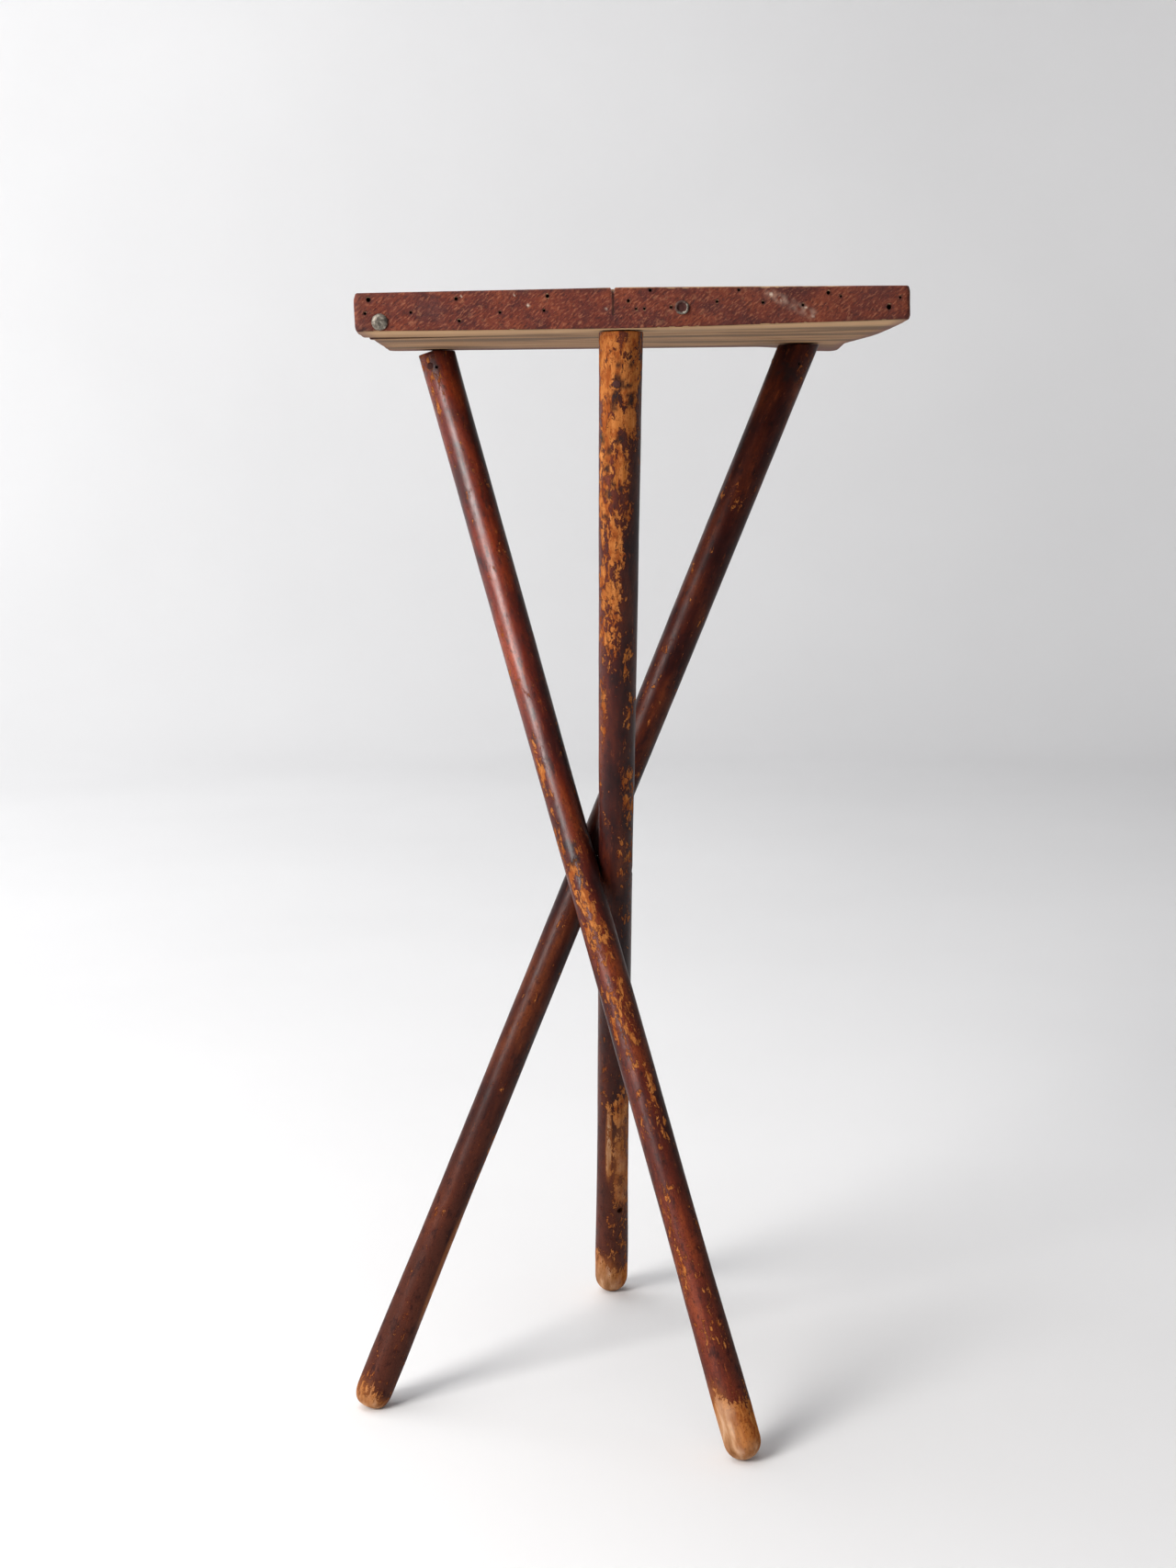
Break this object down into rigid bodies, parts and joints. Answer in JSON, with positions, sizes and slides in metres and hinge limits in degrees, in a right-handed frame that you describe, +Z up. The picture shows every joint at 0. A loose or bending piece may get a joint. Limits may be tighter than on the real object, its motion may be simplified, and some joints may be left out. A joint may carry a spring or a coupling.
{
  "type": "folding three-legged field stand",
  "caption": "Rustic field tripod: a thick square board rests on turned wooden legs that cross at mid-height on an iron three-way pivot and fold into a bundle.",
  "frame": {"origin": "on the floor under the middle of the stand's outline", "axes": "+Z up, -Y towards the board's front edge, +X to the right seen from the front"},
  "size_m": [0.3596, 0.3684, 0.7584],
  "materials": {
    "painted_board": "worn brick-red paint over rough-sawn softwood, bare underneath",
    "varnished_leg": "dark mahogany varnish, glossy, flaked to orange-tan wood",
    "dowel_wood": "bare",
    "black_iron": "dark forged",
    "zinc_nail": "dull galvanised"
  },
  "bodies": {
    "pivot": {"three_way_pivot": "black_iron", "left_burr": "black_iron", "center_burr": "black_iron", "right_burr": "black_iron"},
    "board": {"front_plank": "painted_board", "rear_plank": "painted_board", "left_dowel": "dowel_wood", "middle_dowel": "dowel_wood", "right_dowel": "dowel_wood", "left_edge_nail": "zinc_nail", "center_edge_nail": "zinc_nail"},
    "left_leg": {"left_leg": "varnished_leg", "left_locating_pin": "black_iron", "left_pin_brad": "zinc_nail"},
    "center_leg": {"center_leg": "varnished_leg", "center_locating_pin": "black_iron", "center_pin_brad": "zinc_nail"},
    "right_leg": {"right_leg": "varnished_leg", "right_locating_pin": "black_iron", "right_pin_brad": "zinc_nail"}
  },
  "joints": [
    {"name": "center_leg_fold", "type": "hinge", "parent": "pivot", "child": "center_leg", "pos_m": [0.00694, 0.00451, 0.36969], "axis": [-1, 0.0026, 0], "range_deg": [0, 23]},
    {"name": "left_leg_fold", "type": "hinge", "parent": "pivot", "child": "left_leg", "pos_m": [-0.01839, -0.00354, 0.37739], "axis": [0.8161, 0.5779, 0], "range_deg": [0, 23]},
    {"name": "right_leg_fold", "type": "hinge", "parent": "pivot", "child": "right_leg", "pos_m": [-0.01326, 0.0201, 0.36769], "axis": [0.3754, -0.9269, 0], "range_deg": [0, 23]},
    {"name": "board_lift", "type": "slide", "parent": "pivot", "child": "board", "axis": [0, 0, 1], "range_m": [0, 0.181]}
  ],
  "couplings": [
    {"joint": "left_leg_fold", "follows": "center_leg_fold", "ratio": 1},
    {"joint": "right_leg_fold", "follows": "center_leg_fold", "ratio": 1},
    {"joint": "board_lift", "follows": "center_leg_fold", "m_per_rad": 0.45}
  ]
}
